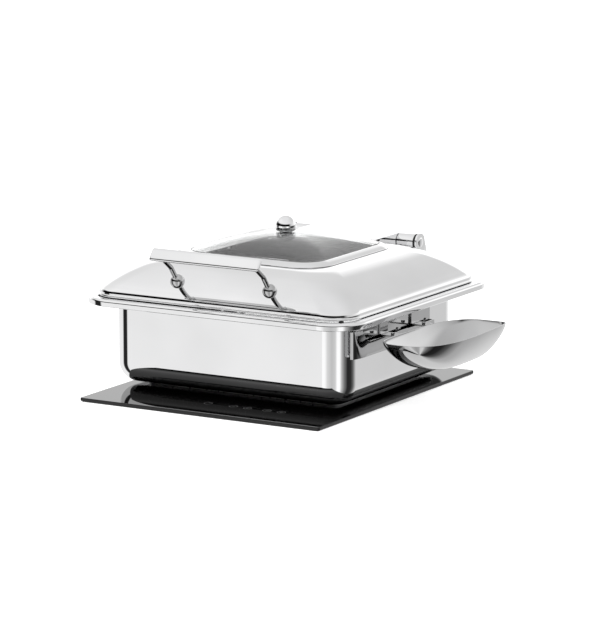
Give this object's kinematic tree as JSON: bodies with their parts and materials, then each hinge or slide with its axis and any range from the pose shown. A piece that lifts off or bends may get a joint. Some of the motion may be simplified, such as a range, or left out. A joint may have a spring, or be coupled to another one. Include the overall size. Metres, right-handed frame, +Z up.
{
  "type": "induction hob with chafing dish",
  "caption": "Drop-in black glass induction hob with a polished rectangular chafing dish, hinged domed lid with a window, bar handle, ball knob and side spoon rest.",
  "frame": {"origin": "on the induction coil's axis, at the underside of the hob's housing", "axes": "+X to the right and +Y to the back for a person who faces the touch controls, +Z up"},
  "size_m": [0.4525, 0.4283, 0.2547],
  "materials": {
    "black_glass": "polished black glass-ceramic",
    "seal_rubber": "matte black silicone",
    "sheet_steel": "galvanised sheet",
    "screw_steel": "zinc plated",
    "aluminium": "mill finish",
    "carrier_plastic": "heat-resistant moulding",
    "ferrite": "sintered",
    "copper": "enamelled copper braid",
    "insulation": "ceramic paper",
    "sensor_ceramic": "ceramic",
    "lead_insulation": "silicone sleeving",
    "circuit_board": "solder resist",
    "brass": "turned brass",
    "chip_black": "moulded epoxy",
    "capacitor": "film capacitor case",
    "display": "red tinted display",
    "fan_plastic": "black moulding",
    "magnetic_steel": "brushed ferritic steel",
    "polished_steel": "mirror-polished stainless steel",
    "pan_steel": "satin stainless steel",
    "window_glass": "tempered clear glass"
  },
  "bodies": {
    "hob": {"hob_glass": "black_glass", "glass_seal": "seal_rubber", "hob_housing": "sheet_steel", "base_cover": "sheet_steel", "base_screws": "screw_steel", "worktop_clamps": "sheet_steel", "clamp_screws": "screw_steel", "shield_plate": "aluminium", "coil_carrier": "carrier_plastic", "ferrite_bars": "ferrite", "induction_coil": "copper", "insulation_disc": "insulation", "temperature_sensor": "sensor_ceramic", "coil_leads": "lead_insulation", "power_board": "circuit_board", "board_standoffs": "brass", "heatsink": "aluminium", "power_transistors": "chip_black", "filter_capacitors": "capacitor", "filter_choke": "copper", "control_holder": "carrier_plastic", "control_board": "circuit_board", "display_module": "display", "touch_springs": "brass", "fan_housing": "fan_plastic", "air_duct": "fan_plastic", "terminal_block": "carrier_plastic", "cable_gland": "fan_plastic", "gland_nut": "fan_plastic"},
    "fan": {"fan_rotor": "fan_plastic"},
    "dish": {"induction_base": "magnetic_steel", "water_pan": "polished_steel", "pan_rim": "polished_steel", "lid_bumpers": "seal_rubber", "side_bracket": "polished_steel", "bracket_studs": "screw_steel", "hinge_bracket": "polished_steel", "hinge_screws": "screw_steel", "hinge_rings": "seal_rubber", "hinge_pin": "screw_steel", "hinge_caps": "polished_steel"},
    "food_pan": {"food_pan": "pan_steel"},
    "spoon_rest": {"spoon_rest": "polished_steel", "spoon_hooks": "polished_steel", "spoon_rivets": "screw_steel"},
    "lid": {"hinge_leaf": "polished_steel", "hinge_damper": "fan_plastic", "lid_shell": "polished_steel", "window_frame": "polished_steel", "window_gasket": "seal_rubber", "window_glass": "window_glass", "knob_washer": "seal_rubber", "lid_knob": "polished_steel", "knob_screw": "screw_steel", "handle_foot": "polished_steel", "handle_stems": "polished_steel", "handle_balls": "polished_steel", "handle_grip": "polished_steel", "handle_nuts": "screw_steel"}
  },
  "joints": [
    {"name": "fan_spin", "type": "hinge", "parent": "hob", "child": "fan", "pos_m": [0.095, 0.08, 0.01], "axis": [0, 0, 1], "continuous": true},
    {"name": "dish_lift", "type": "slide", "parent": "hob", "child": "dish", "axis": [0, 0, 1], "range_m": [0, 0.12]},
    {"name": "pan_lift", "type": "slide", "parent": "dish", "child": "food_pan", "axis": [0, 0, 1], "range_m": [0, 0.008]},
    {"name": "spoon_rest_lift", "type": "slide", "parent": "dish", "child": "spoon_rest", "axis": [0, 0, 1], "range_m": [0, 0.007]},
    {"name": "lid_hinge", "type": "hinge", "parent": "dish", "child": "lid", "pos_m": [0, 0.17, 0.205], "axis": [-1, 0, 0], "range_deg": [0, 90]}
  ]
}
